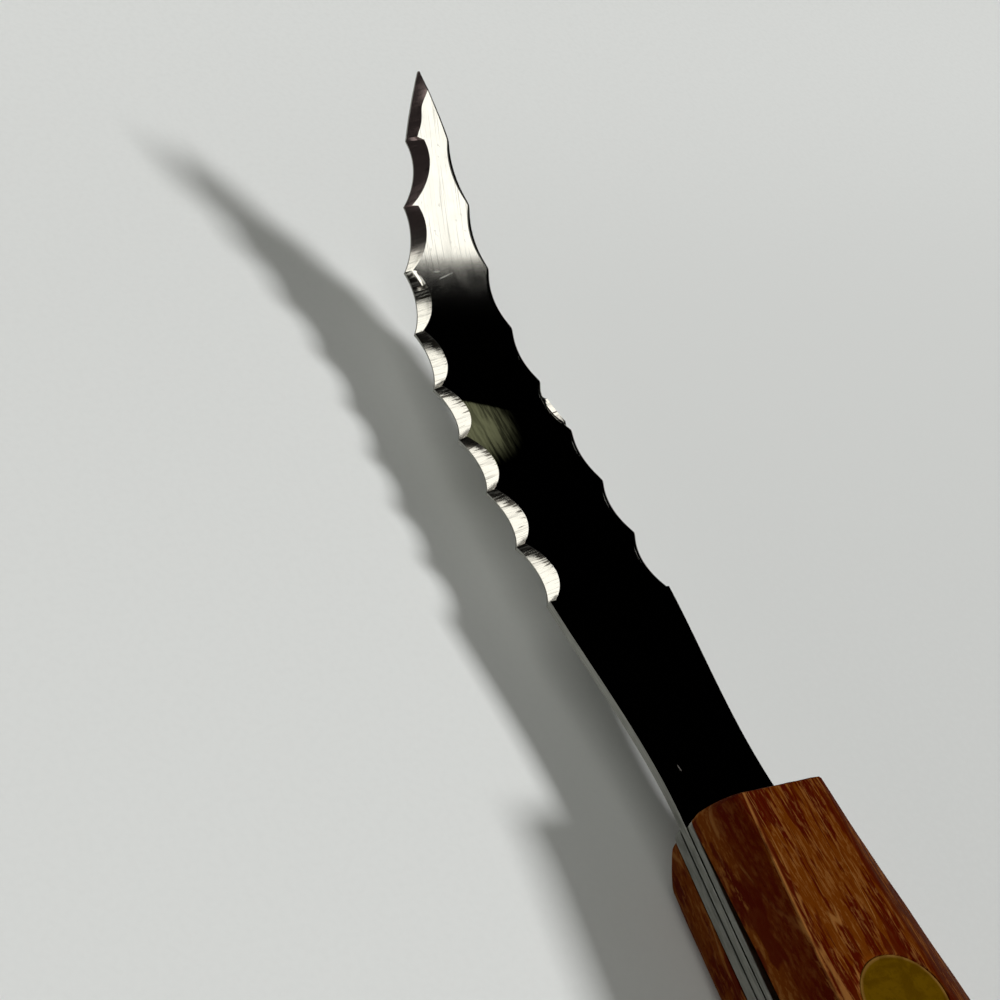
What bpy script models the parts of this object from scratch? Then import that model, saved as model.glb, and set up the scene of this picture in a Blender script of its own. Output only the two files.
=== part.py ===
"""Double-ended grapefruit knife.

One end is a bent blade, scalloped along both edges. The other end is a pair of straight section
blades that pass either side of a membrane. The three tangs lie on each other between two wooden
handle scales, and two-piece cutler's rivets draw the stack together.

Metres. +X runs to the bent blade's tip, +Z is up. The knife lies on its lower scale, and the
origin is in the middle of that scale's flat outer face.
"""

import math

import bmesh
import bpy

# Clearance left between two pieces that touch.
FIT_GAP = 0.0003

# Sheet steel.
BLADE_THICKNESS = 0.0008
SECTION_THICKNESS = 0.0008
EDGE_LAND = 0.00020  # height of the blunt edge left below a ground facet

# Handle, the same plan outline for the scales and the tangs.
HANDLE_LENGTH = 0.096
HANDLE_END_HALF_WIDTH = 0.00553
HANDLE_SWELL = 0.00295  # added to each side at mid length
SCALE_WALL = 0.0030  # upright side of a scale, below the rounding of its long edges
EDGE_DROP = 0.0019  # height of that rounding
EDGE_END_WIDTH = 0.0012  # width of that rounding at the handle's ends
EDGE_SWELL = 0.0018  # added to that width at mid length
EDGE_POWER = 1.5  # 1 is a straight chamfer, 2 a quarter ellipse
END_ROUND_LENGTH = 0.0014
END_ROUND_DROP = 0.0019  # of the flat face, at the very end of a scale
END_EDGE_DROP = 0.0009  # height of the long edges' rounding there
END_ROUND_INSET = 0.0005
END_POWER = 1.2

# Bent blade, measured along its centre line from the front of the handle.
NECK_LENGTH = 0.0240
NECK_END_SLOPE = 0.06
BLADE_HALF_WIDTH = 0.0066
SCALLOP_PITCH = 0.00675
SCALLOPS = 8
TIP_LENGTH = 0.0071
TAPER_POWER = 3.1
SCALLOP_DEPTH = 0.00095
FACET_WIDTH = 0.0014  # on the upper face, at the widest scallop
TIP_FACET_WIDTH = 0.0008
TIP_FACET_START = 0.5  # share of the tip over which its facet comes to full width
TIP_HALF_WIDTH = 0.00008
BEND_START = 0.0255  # from the first scallop
BEND_RADIUS = 0.0324
BEND_ANGLE = math.radians(35.4)
TANG_SETBACK = 0.0010  # the bent blade's tang stops this far inside the rear of the handle

# Section blades, from the rear of the handle.
SECTION_LENGTH = 0.0660
SECTION_HALF_WIDTH = 0.0046
SECTION_NECK = 0.0140
SECTION_TIP_LENGTH = 0.0075
SECTION_BEVEL = 0.0012

# Cutler's rivets.
RIVET_FROM_END = 0.0220
HEAD_RADIUS = 0.0040
HEAD_THICKNESS = 0.0015
HEAD_RECESS = 0.00005
PIN_RADIUS = 0.0015
TUBE_WALL = 0.0007
PIN_END_ROOM = 0.0004
SOCKET_FLOOR = 0.0012  # brass left under the bore, measured from the head's inner face

# How finely curves are stepped.
EDGE_STEPS = 5
END_STEPS = 4
HANDLE_STEPS = 18
NECK_STEPS = 9
SCALLOP_STEPS = 8
TIP_STEPS = 6
SECTION_STEPS = 12
TURN_STEPS = 32

# Heights worked out from the sizes above, from the blade's mid plane.
BLADE_TOP = BLADE_THICKNESS / 2
SECTION_INNER = BLADE_TOP + FIT_GAP
SECTION_OUTER = SECTION_INNER + SECTION_THICKNESS
SCALE_INNER = SECTION_OUTER + FIT_GAP
SCALE_OUTER = SCALE_INNER + SCALE_WALL + EDGE_DROP
HEAD_OUTER = SCALE_OUTER - HEAD_RECESS
HEAD_INNER = HEAD_OUTER - HEAD_THICKNESS
COUNTERBORE_FLOOR = HEAD_INNER - FIT_GAP
TUBE_BORE_FLOOR = SOCKET_FLOOR - HEAD_INNER

TUBE_BORE = PIN_RADIUS + FIT_GAP
TUBE_RADIUS = TUBE_BORE + TUBE_WALL

FRONT = HANDLE_LENGTH / 2
REAR = -FRONT
RIVET_PLACES = {"front": FRONT - RIVET_FROM_END, "rear": REAR + RIVET_FROM_END}
SERRATED_LENGTH = SCALLOPS * SCALLOP_PITCH + TIP_LENGTH

STEEL = ("polished_steel", (0.62, 0.61, 0.58), 1.0, 0.14)
SATIN_STEEL = ("satin_steel", (0.56, 0.57, 0.55), 1.0, 0.34)
WOOD = ("oiled_hardwood", (0.30, 0.105, 0.032), 0.0, 0.52)
BRASS = ("aged_brass", (0.42, 0.31, 0.09), 1.0, 0.42)


def clear_scene():
    for old in list(bpy.data.objects):
        bpy.data.objects.remove(old, do_unlink=True)


def material(finish):
    name, colour, metallic, roughness = finish
    made = bpy.data.materials.get(name)
    if made is None:
        made = bpy.data.materials.new(name)
        made.use_nodes = True
        shader = made.node_tree.nodes["Principled BSDF"]
        shader.inputs["Base Color"].default_value = (*colour, 1.0)
        shader.inputs["Metallic"].default_value = metallic
        shader.inputs["Roughness"].default_value = roughness
    return made


def add_object(name, shape, parent, finish, location=(0.0, 0.0, 0.0)):
    """Turns a finished bmesh into a named object placed on the parent empty."""
    bmesh.ops.recalc_face_normals(shape, faces=shape.faces)
    mesh = bpy.data.meshes.new(name)
    shape.to_mesh(mesh)
    shape.free()
    mesh.shade_smooth()
    mesh.set_sharp_from_angle(angle=math.radians(30))
    made = bpy.data.objects.new(name, mesh)
    bpy.context.collection.objects.link(made)
    made.parent = parent
    made.location = location
    made.data.materials.append(material(finish))
    return made


def loft(rings):
    """A closed body through rings that all have the same number of points."""
    shape = bmesh.new()
    corners = [[shape.verts.new(point) for point in ring] for ring in rings]
    shape.faces.new(corners[0])
    shape.faces.new(corners[-1])
    for near, far in zip(corners, corners[1:]):
        for index in range(len(near)):
            before = index - 1
            shape.faces.new((near[before], near[index], far[index], far[before]))
    return shape


def turned(profile):
    """A body of revolution about Z, from (radius, height) points that start and end on the axis."""
    shape = bmesh.new()
    points = [shape.verts.new((radius, 0.0, height)) for radius, height in profile]
    edges = [shape.edges.new(pair) for pair in zip(points, points[1:])]
    bmesh.ops.spin(
        shape,
        geom=points + edges,
        cent=(0.0, 0.0, 0.0),
        axis=(0.0, 0.0, 1.0),
        angle=2 * math.pi,
        steps=TURN_STEPS,
        use_merge=True,
    )
    bmesh.ops.remove_doubles(shape, verts=shape.verts, dist=1e-6)
    return shape


def steps_between(start, end, count):
    return [start + (end - start) * index / count for index in range(count + 1)]


def sine_swell(x):
    """0 at the handle's two ends, 1 at mid length."""
    return math.sin(math.pi * (x - REAR) / HANDLE_LENGTH)


def handle_half_width(x):
    return HANDLE_END_HALF_WIDTH + HANDLE_SWELL * sine_swell(x)


def flat_half_width(x):
    """Half width of a scale's flat outer face."""
    return handle_half_width(x) - EDGE_END_WIDTH - EDGE_SWELL * sine_swell(x)


def handle_end_slope():
    """How fast the plan outline widens as it enters the handle."""
    return HANDLE_SWELL * math.pi / HANDLE_LENGTH


def cut_rivet_holes(piece, counterbored):
    """Drills a piece for every rivet; a scale also gets the counterbores for the heads."""
    reach = 2 * SCALE_OUTER
    hole = TUBE_RADIUS + FIT_GAP
    bore = HEAD_RADIUS + FIT_GAP
    profile = [(0.0, reach), (hole, reach), (hole, -reach), (0.0, -reach)]
    if counterbored:
        floor = COUNTERBORE_FLOOR
        upper = [(0.0, reach), (bore, reach), (bore, floor), (hole, floor)]
        lower = [(hole, -floor), (bore, -floor), (bore, -reach), (0.0, -reach)]
        profile = upper + lower
    for place, x in RIVET_PLACES.items():
        name = f"{piece.name}_{place}_drill"
        drill = add_object(name, turned(profile), piece.parent, BRASS, (x, 0.0, 0.0))
        drill.hide_render = True
        drill.display_type = "WIRE"
        cut = piece.modifiers.new(f"{place}_rivet_hole", "BOOLEAN")
        cut.operation = "DIFFERENCE"
        cut.solver = "EXACT"
        cut.object = drill


def end_rounding(x):
    """1 at the handle's end faces, falling to 0 along the rounding."""
    inside = max(0.0, min(1.0, (FRONT - abs(x)) / END_ROUND_LENGTH))
    return 1.0 - (1.0 - (1.0 - inside) ** END_POWER) ** (1.0 / END_POWER)


def scale_section(x, side):
    """Outline of a scale across the handle; side is 1 for the upper scale and -1 for the lower."""
    rounding = end_rounding(x)
    top = SCALE_OUTER - END_ROUND_DROP * rounding
    drop = EDGE_DROP + (END_EDGE_DROP - EDGE_DROP) * rounding
    wall = top - drop
    wide = handle_half_width(x) - END_ROUND_INSET * rounding
    flat = flat_half_width(x) - END_ROUND_INSET * rounding
    half = [(wide, SCALE_INNER)]
    for angle in steps_between(0.0, math.pi / 2, EDGE_STEPS):
        across = max(0.0, math.cos(angle)) ** (2 / EDGE_POWER)
        up = math.sin(angle) ** (2 / EDGE_POWER)
        half.append((flat + (wide - flat) * across, wall + drop * up))
    outline = half + [(-y, z) for y, z in reversed(half)]
    return [(x, y, side * z) for y, z in outline]


def handle_stations():
    """Places along the handle: close together over the rounded ends, even between them."""
    angles = steps_between(0.0, math.pi / 2, END_STEPS)
    rounded = [END_ROUND_LENGTH * (1.0 - math.cos(angle)) for angle in angles]
    middle = steps_between(REAR + END_ROUND_LENGTH, FRONT - END_ROUND_LENGTH, HANDLE_STEPS)
    rear = [REAR + distance for distance in rounded]
    front = [FRONT - distance for distance in reversed(rounded)]
    return rear + middle[1:-1] + front


def handle_scale(name, side, parent):
    rings = [scale_section(x, side) for x in handle_stations()]
    scale = add_object(name, loft(rings), parent, WOOD)
    cut_rivet_holes(scale, counterbored=True)
    return scale


def neck_half_width(distance):
    """Smooth waist from the handle's outline to the first scallop."""
    share = distance / NECK_LENGTH
    start_slope = -handle_end_slope() * NECK_LENGTH
    end_slope = NECK_END_SLOPE * NECK_LENGTH
    start = (2 * share**3 - 3 * share**2 + 1) * HANDLE_END_HALF_WIDTH
    end = (3 * share**2 - 2 * share**3) * BLADE_HALF_WIDTH
    bends = (share**3 - 2 * share**2 + share) * start_slope + (share**3 - share**2) * end_slope
    return start + end + bends


def tooth_half_width(distance):
    """Line through the tooth points, from the first scallop to the tip."""
    share = min(1.0, distance / SERRATED_LENGTH)
    return TIP_HALF_WIDTH + (BLADE_HALF_WIDTH - TIP_HALF_WIDTH) * (1.0 - share**TAPER_POWER)


def arc_depth(share, chord, depth):
    """Depth of a circular scallop at a share of its chord."""
    radius = ((chord / 2) ** 2 + depth**2) / (2 * depth)
    across = (share - 0.5) * chord
    return math.sqrt(radius**2 - across**2) - (radius - depth)


def facet_width(distance):
    return FACET_WIDTH + (TIP_FACET_WIDTH - FACET_WIDTH) * distance / SERRATED_LENGTH


def blade_centre_line(distance):
    """Point and slope of the bent blade's mid plane; it starts to rise part-way along the scallops."""
    along = distance - NECK_LENGTH - BEND_START
    turn = min(max(along / BEND_RADIUS, 0.0), BEND_ANGLE)
    past = max(along - BEND_ANGLE * BEND_RADIUS, 0.0)
    straight = min(distance, NECK_LENGTH + BEND_START)
    x = FRONT + straight + BEND_RADIUS * math.sin(turn) + past * math.cos(turn)
    z = BEND_RADIUS * (1.0 - math.cos(turn)) + past * math.sin(turn)
    return x, z, turn


def blade_section(distance, lower_half, upper_half):
    """Ring across the bent blade: wide lower face, blunt land, ground facet, upper face."""
    x, z, turn = blade_centre_line(distance)
    land = EDGE_LAND - BLADE_TOP
    half = [(lower_half, -BLADE_TOP), (lower_half, land), (upper_half, BLADE_TOP)]
    outline = half + [(-y, height) for y, height in reversed(half)]
    rise = math.cos(turn)
    lean = math.sin(turn)
    return [(x - lean * height, y, z + rise * height) for y, height in outline]


def tang_rings():
    rings = []
    for x in steps_between(REAR + TANG_SETBACK, FRONT, HANDLE_STEPS):
        half = handle_half_width(x)
        rings.append(blade_section(x - FRONT, half, half))
    return rings


def neck_rings():
    rings = []
    for distance in steps_between(0.0, NECK_LENGTH, NECK_STEPS)[1:]:
        half = neck_half_width(distance)
        rings.append(blade_section(distance, half, half))
    return rings


def scallop_rings():
    """Each scallop is ground from above: shallow through the lower face, deep on the upper one."""
    rings = []
    for number in range(SCALLOPS):
        for step in range(1, SCALLOP_STEPS + 1):
            share = (1.0 - math.cos(math.pi * step / SCALLOP_STEPS)) / 2
            distance = (number + share) * SCALLOP_PITCH
            tooth = tooth_half_width(distance)
            lower = tooth - arc_depth(share, SCALLOP_PITCH, SCALLOP_DEPTH)
            deep = SCALLOP_DEPTH + facet_width(distance)
            upper = max(TIP_HALF_WIDTH, tooth - arc_depth(share, SCALLOP_PITCH, deep))
            rings.append(blade_section(NECK_LENGTH + distance, lower, upper))
    return rings


def tip_rings():
    """Plain ground point past the last scallop."""
    rings = []
    for share in steps_between(0.0, 1.0, TIP_STEPS)[1:]:
        distance = SCALLOPS * SCALLOP_PITCH + share * TIP_LENGTH
        lower = tooth_half_width(distance)
        ground = TIP_FACET_WIDTH * min(1.0, share / TIP_FACET_START)
        upper = max(TIP_HALF_WIDTH, lower - ground)
        rings.append(blade_section(NECK_LENGTH + distance, lower, upper))
    return rings


def curved_blade(parent):
    rings = tang_rings() + neck_rings() + scallop_rings() + tip_rings()
    blade = add_object("curved_blade", loft(rings), parent, STEEL)
    cut_rivet_holes(blade, counterbored=False)
    return blade


def section_half_width(distance):
    """Half width of a section blade at a distance from the handle's rear to its round tip."""
    if distance < SECTION_NECK:
        ease = (1.0 - math.cos(math.pi * distance / SECTION_NECK)) / 2
        return HANDLE_END_HALF_WIDTH + (SECTION_HALF_WIDTH - HANDLE_END_HALF_WIDTH) * ease
    past = distance - (SECTION_LENGTH - SECTION_TIP_LENGTH)
    if past <= 0.0:
        return SECTION_HALF_WIDTH
    share = min(1.0, past / SECTION_TIP_LENGTH)
    return max(TIP_HALF_WIDTH, SECTION_HALF_WIDTH * math.sqrt(1.0 - share**2))


def section_ring(x, half, bevel, side):
    """Ring across a section blade: flat inner face, blunt land, ground bevel, outer face."""
    land = SECTION_INNER + EDGE_LAND
    outer = max(TIP_HALF_WIDTH / 2, half - bevel)
    edge = [(half, SECTION_INNER), (half, land), (outer, SECTION_OUTER)]
    outline = edge + [(-y, z) for y, z in reversed(edge)]
    return [(x, y, side * z) for y, z in outline]


def section_blade(name, side, parent):
    rings = []
    for x in reversed(steps_between(REAR, FRONT, HANDLE_STEPS)):
        rings.append(section_ring(x, handle_half_width(x), 0.0, side))
    neck = steps_between(0.0, SECTION_NECK, SECTION_STEPS)[1:]
    shoulder = SECTION_LENGTH - SECTION_TIP_LENGTH
    run = steps_between(SECTION_NECK, shoulder, SECTION_STEPS)[1:]
    angles = steps_between(0.0, math.pi / 2, SECTION_STEPS)[1:]
    tip = [shoulder + SECTION_TIP_LENGTH * math.sin(angle) for angle in angles]
    for distance in neck + run + tip:
        bevel = SECTION_BEVEL * min(1.0, distance / SECTION_NECK)
        half = section_half_width(distance)
        rings.append(section_ring(REAR - distance, half, bevel, side))
    blade = add_object(name, loft(rings), parent, SATIN_STEEL)
    cut_rivet_holes(blade, counterbored=False)
    return blade


def rivet_pin(name, x, parent):
    """Upper half of a rivet: a flat head and the solid pin that is driven into the tube."""
    end = TUBE_BORE_FLOOR + PIN_END_ROOM
    profile = [
        (0.0, HEAD_OUTER),
        (HEAD_RADIUS, HEAD_OUTER),
        (HEAD_RADIUS, HEAD_INNER),
        (PIN_RADIUS, HEAD_INNER),
        (PIN_RADIUS, end),
        (0.0, end),
    ]
    return add_object(name, turned(profile), parent, BRASS, (x, 0.0, 0.0))


def rivet_tube(name, x, parent):
    """Lower half of a rivet: a flat head and the tube that grips the pin."""
    mouth = HEAD_INNER - FIT_GAP
    profile = [
        (0.0, TUBE_BORE_FLOOR),
        (TUBE_BORE, TUBE_BORE_FLOOR),
        (TUBE_BORE, mouth),
        (TUBE_RADIUS, mouth),
        (TUBE_RADIUS, -HEAD_INNER),
        (HEAD_RADIUS, -HEAD_INNER),
        (HEAD_RADIUS, -HEAD_OUTER),
        (0.0, -HEAD_OUTER),
    ]
    return add_object(name, turned(profile), parent, BRASS, (x, 0.0, 0.0))


def build():
    clear_scene()
    mid_plane = bpy.data.objects.new("blade_mid_plane", None)
    bpy.context.collection.objects.link(mid_plane)
    mid_plane.location = (0.0, 0.0, SCALE_OUTER)
    curved_blade(mid_plane)
    for name, side in (("upper", 1.0), ("lower", -1.0)):
        section_blade(f"{name}_section_blade", side, mid_plane)
        handle_scale(f"{name}_handle_scale", side, mid_plane)
    for place, x in RIVET_PLACES.items():
        rivet_pin(f"{place}_rivet_pin", x, mid_plane)
        rivet_tube(f"{place}_rivet_tube", x, mid_plane)
    bpy.context.view_layer.update()


build()
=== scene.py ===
"""Looks of a double-ended grapefruit knife: finely modelled pieces, their finishes, floor, light and camera.

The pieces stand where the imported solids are. Metres; +X runs to the bent blade's tip and +Z is up.
"""

import math

import bmesh
import bpy
from bpy.props import FloatProperty, FloatVectorProperty, PointerProperty
from mathutils import Matrix, Vector, noise


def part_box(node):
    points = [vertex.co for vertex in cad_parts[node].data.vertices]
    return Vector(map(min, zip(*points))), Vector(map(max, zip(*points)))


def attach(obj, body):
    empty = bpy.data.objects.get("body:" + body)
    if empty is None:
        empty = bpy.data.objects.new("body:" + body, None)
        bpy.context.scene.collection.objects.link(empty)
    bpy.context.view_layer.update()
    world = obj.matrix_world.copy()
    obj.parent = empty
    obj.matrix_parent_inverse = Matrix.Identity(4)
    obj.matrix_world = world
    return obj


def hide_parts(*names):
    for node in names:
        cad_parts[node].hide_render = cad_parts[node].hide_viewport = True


bl_info = {
    "name": "Grapefruit knife looks",
    "version": (1, 0, 0),
    "blender": (4, 5, 0),
    "location": "3D View > Sidebar > Knife",
    "description": "Models and finishes the visible pieces of a double-ended grapefruit knife",
    "category": "Object",
}

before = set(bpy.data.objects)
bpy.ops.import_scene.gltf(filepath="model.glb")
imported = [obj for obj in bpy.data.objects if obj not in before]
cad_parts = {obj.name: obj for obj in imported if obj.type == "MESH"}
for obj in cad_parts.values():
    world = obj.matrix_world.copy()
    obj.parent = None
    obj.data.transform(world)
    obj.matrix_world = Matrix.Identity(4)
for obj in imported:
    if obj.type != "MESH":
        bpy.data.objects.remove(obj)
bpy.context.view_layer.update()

UPPER_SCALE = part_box("upper_handle_scale")
LOWER_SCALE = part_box("lower_handle_scale")
UPPER_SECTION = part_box("upper_section_blade")
FRONT_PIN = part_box("front_rivet_pin")
REAR_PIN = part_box("rear_rivet_pin")
FRONT_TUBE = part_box("front_rivet_tube")

MID_HEIGHT = (UPPER_SCALE[1].z + LOWER_SCALE[0].z) / 2
FRONT = UPPER_SCALE[1].x
REAR = UPPER_SCALE[0].x
SECTION_INNER = UPPER_SECTION[0].z - MID_HEIGHT
SECTION_OUTER = UPPER_SECTION[1].z - MID_HEIGHT
SCALE_INNER = UPPER_SCALE[0].z - MID_HEIGHT
SCALE_OUTER = UPPER_SCALE[1].z - MID_HEIGHT
HEAD_OUTER = FRONT_PIN[1].z - MID_HEIGHT
RIVET_PLACES = {
    "front": (FRONT_PIN[0].x + FRONT_PIN[1].x) / 2,
    "rear": (REAR_PIN[0].x + REAR_PIN[1].x) / 2,
}


def length(name, description, default):
    return FloatProperty(name=name, description=description, default=default, unit="LENGTH", precision=5)


def colour(name, description, default):
    return FloatVectorProperty(
        name=name, description=description, default=default, subtype="COLOR", size=3, min=0.0, max=1.0
    )


class KnifeHandleSizes(bpy.types.PropertyGroup):
    """Wooden scales, and the plan outline that the tangs share with them"""

    end_half_width: length("End half width", "Half width of the handle at its ends", 0.00553)
    mid_half_width: length("Mid half width", "Half width of the handle at mid length", UPPER_SCALE[1].y)
    edge_drop: length("Edge drop", "Height of the rounding along the long edges", 0.0019)
    edge_end_width: length("Edge width at ends", "Width of that rounding at the handle's ends", 0.0012)
    edge_swell: length("Edge swell", "Added to that width at mid length", 0.0018)
    end_length: length("End rounding", "Length of the rounding over the end of a scale", 0.0014)
    end_drop: length("End drop", "How far the flat face falls at the very end", 0.0031)
    end_edge_drop: length("End edge drop", "Height of the long edges' rounding at the very end", 0.0009)
    end_inset: length("End inset", "How far the sides draw in at the very end", 0.0001)
    wear: length("Wear", "Unevenness of the hand-worn surface", 0.00006)
    flat_shift: length("Flat shift", "How far the upper flat sits towards the left edge", 0.00095)
    lift: length("Lift", "Gap that has opened under the upper scale's left edge", 0.00025)
    closing: length("Closing", "How much lower the upper scale sits at its ends", 0.00060)
    setback: length("Setback", "How far the front of the scales is worn back", 0.00058)


class KnifeBladeSizes(bpy.types.PropertyGroup):
    """Bent blade, measured along its centre line from the front of the handle"""

    thickness: length("Thickness", "Thickness of the sheet", 0.0008)
    tang_setback: length("Tang setback", "How far the tang stops inside the handle's rear", 0.0010)
    neck_length: length("Neck length", "From the handle to the first scallop", 0.0240)
    half_width: length("Half width", "Half width at the first scallop", 0.0066)
    pitch: length("Scallop pitch", "Length of one scallop", 0.00675)
    tip_length: length("Tip length", "Plain point past the last scallop", 0.0071)
    scallop_depth: length("Scallop depth", "Depth of a scallop in the cutting edge", 0.00095)
    facet_width: length("Facet width", "Ground facet half way along a scallop", 0.00142)
    land: length("Edge land", "Height of the blunt edge below a facet", 0.00020)
    near_facet: length("Near facet", "Facet at the handle end of a scallop", 0.00060)
    far_facet: length("Far facet", "Facet at the tip end of the first scallop", 0.00075)
    far_growth: length("Far growth", "Added to that on the last scallop", 0.00100)
    tip_left_facet: length("Left tip facet", "Width of the left facet at the point", 0.00105)
    right_facet: length("Right facet", "Width of the rolled facet along the right edge", 0.00072)
    burr: length("Burr", "Width of the lip bent up at one right scallop", 0.00048)
    tip_swell: length("Tip swell", "How far the left of the point stands out", 0.00034)
    right_extra: length("Right extra", "How much further out the right edge stands", 0.00045)
    right_depth: length("Right depth", "Depth of a scallop in the right edge", 0.00085)
    grind_lag: length("Grind lag", "How far the left scallops sit behind the right ones", 0.00021)
    bend_start: length("Bend start", "From the first scallop to the bend", 0.0255)
    bend_radius: length("Bend radius", "Radius of the bend at mid thickness", 0.0324)
    bend_angle: FloatProperty(
        name="Bend angle",
        description="How far the tip is bent up",
        default=math.radians(35.4),
        subtype="ANGLE",
    )


class KnifeSectionSizes(bpy.types.PropertyGroup):
    """Pair of straight section blades, from the rear of the handle"""

    reach: length("Reach", "How far the blades stand out of the handle", REAR - UPPER_SECTION[0].x)
    half_width: length("Half width", "Half width of a section blade", 0.0046)
    neck: length("Neck", "Length over which a blade narrows", 0.0140)
    tip: length("Tip", "Length of the round tip", 0.0075)
    bevel: length("Bevel", "Width of the ground bevel", 0.0012)


class KnifeRivetSizes(bpy.types.PropertyGroup):
    """Two-piece cutler's rivets"""

    head_radius: length("Head radius", "Radius of a rivet head", (FRONT_PIN[1].y - FRONT_PIN[0].y) / 2)
    head_thickness: length("Head thickness", "Thickness of a rivet head", 0.0015)
    rim: length("Rim", "Radius of the head's rounded rim", 0.00012)
    pin_radius: length("Pin radius", "Radius of the solid pin", 0.0015)
    tube_bore: length("Tube bore", "Radius of the bore that grips the pin", 0.0018)
    tube_radius: length("Tube radius", "Outer radius of the tube", 0.0025)
    socket_floor: length("Socket floor", "Brass between the bore and the head", 0.0012)
    hole_room: length("Hole room", "Room between a head and the wood", 0.00004)


class KnifeColours(bpy.types.PropertyGroup):
    """Colours of the finishes"""

    steel: colour("Steel", "Polished blade steel", (0.62, 0.61, 0.57))
    ground: colour("Ground steel", "Freshly ground facets", (0.76, 0.74, 0.67))
    satin: colour("Satin steel", "Dulled edges and section blades", (0.30, 0.30, 0.27))
    film: colour("Film", "Dried film on the blade", (0.140, 0.145, 0.080))
    smoked: colour("Smoked steel", "Ground facets near the point", (0.42, 0.32, 0.31))
    # Painted dark reflection on the ground facets.
    scored: colour("Scored steel", "Deep marks of the wheel", (0.055, 0.048, 0.036))
    mark: colour("Mark", "Short bright marks on the polish", (0.80, 0.80, 0.76))
    stain: colour("Stain", "Small stains on dull steel", (0.20, 0.19, 0.165))
    wood_dark: colour("Dark wood", "Red-brown pores and bands", (0.058, 0.0040, 0.0002))
    wood_mid: colour("Wood", "Main colour of the scales", (0.113, 0.0255, 0.0010))
    wood_light: colour("Light wood", "Golden streaks", (0.232, 0.0945, 0.0235))
    # Painted shade and a painted grazing reflection on the right long edge.
    wood_dull: colour("Dull wood", "Handled long edge", (0.053, 0.0145, 0.0068))
    brass: colour("Brass", "Rubbed brass", (0.108, 0.0560, 0.0008))
    patina: colour("Patina", "Olive film on the brass", (0.076, 0.0370, 0.0003))
    tarnish: colour("Tarnish", "Fine specks on the brass", (0.062, 0.031, 0.0002))
    # Painted highlight line round a rivet head.
    rubbed: colour("Rubbed rim", "Thin line round a rivet head", (0.23, 0.12, 0.03))
    floor: colour("Floor", "Pale floor", (0.795, 0.814, 0.806))


SIDES = (("upper", 1.0), ("lower", -1.0))

# Meshes: how close doubles lie, steps along and round, the turn in degrees from which an edge stays sharp.
MERGE_DISTANCE = 1e-7
SLIVER_WIDTH = 1e-6
TURN_STEPS = 96
TANG_STEPS = 48
DRILL_TURN = 0.02
BLADE_CREASE = 11.0
PLAIN_CREASE = 40.0
EDGE_BREAK = 0.00004
POINT_HALF_WIDTH = 0.00008

# Bent blade: its outline and facets, then the scallops that differ from the rest.
SCALLOPS = 8
SCALLOP_STEPS = 28
FACET_STEPS = 8
TAPER_POWER = 3.1
NECK_END_SLOPE = 0.06
BLUNT = 0.00016
LEAST_BULGE = 0.0001
FALL_POWER = 0.6
HOLLOW_POWER = 0.88
ROLL_POWER = 4.0
ROLL_START = 0.25
RIGHT_ARC = 0.25
RIGHT_END_SHARE = 0.6
TIP_FALL = 0.85
TIP_WAIST = 0.13
TIP_FLARE = 0.5
TIP_FLARE_START = 0.42
TIP_SWELL_POWER = 1.6
BURR_SCALLOP = 3
BURR_START = 0.08
BURR_SPAN = 0.62
BURR_SLOPE = 0.42
LEAF_SCALLOP = 5
LEAF_START = 0.70
LEAF_FADE = 0.2
LEAF_TAPER = 0.38
LEAF_SLOPE = 0.22
NO_LEAF = (0.0, 0.5, 0.0)
# Painted dark reflection on the left facets: the scallops that carry it, where it sets in and fades at their
# tip ends, its strength along the crest.
DARK_REFLECTION_SCALLOPS = 6
DARK_REFLECTION_START = 0.72
DARK_REFLECTION_FADE = 0.16
CREST_DARK_REFLECTION = 1.25

# Each right scallop was ground by hand: its depth, as a share of the even depth.
RIGHT_DEPTH_SHARES = (1.10, 0.97, 0.80, 1.22, 0.74, 0.87, 0.72, 0.75)

# Where the polish along X starts to be scuffed and the facets smoked, and where that is full.
SCUFFED = (0.1060, 0.1115)
SMOKED = (0.1125, 0.1165)

# Short marks on the polished face: centre, turn, half length, half width.
SCRATCHES = (
    ((0.0529, 0.00298), 0.10, 0.00050, 0.00009),
    ((0.1115, 0.00140), 1.60, 0.00050, 0.00010),
    ((0.1111, 0.00040), 1.90, 0.00120, 0.00008),
)
# Dried film: the same and its even core, then the slanting line along which it is wiped off.
FILM_PATCH = ((0.0938, 0.0044), -0.30, 0.0074, 0.0068, 0.0)
FILM_END = 0.0955
FILM_FADE = 0.0003
FILM_SLANT = 0.31

# Section blades: how much closer the layers lie than the solids, and the rounding of the tangs' corners.
STACK_CLOSING = 0.00012
CORNER_RADIUS = 0.0008
# How far each section tang's front stands out of the worn wood, and how much its outer face is set in.
TANG_STANDS_OUT = {"upper": 0.00030, "lower": 0.00075}
TANG_THINNED = {"upper": 0.00027, "lower": -STACK_CLOSING}

# Scales: powers of their rounded edges, the worn front, then lengths measured from the handle's ends.
EDGE_POWER = 1.5
RIDGE_POWER = 1.22
END_POWER = 1.2
FRONT_POWER = 1.95
BOW_POWER = 0.7
PLANED_SHARE = 0.80
FRONT_PLANED_LESS = 0.19
FRONT_SKEW = 0.025
FRONT_WORN_LENGTH = 0.018
FRONT_UNDERCUT = 0.0026
UNDERCUT_POWER = 2.4
LOWER_DRAFT = 0.06
RIGHT_CORNER = 0.0004
ROUND_FRONT = 0.008
RIDGE_START = 0.002
RIDGE_SPAN = 0.019
PRESSED_LENGTH = 0.0006
CLOSED_LENGTH = 0.013
FLAT_RUN_IN = 0.012
LIFT_RUN_IN = 0.022
FOOT_RUN_IN = 0.014
RIDGE_ROWS = (0.0001, 0.00025)
CREASE_ROW = 0.0002
ROW_MARGIN = 0.0005
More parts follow.
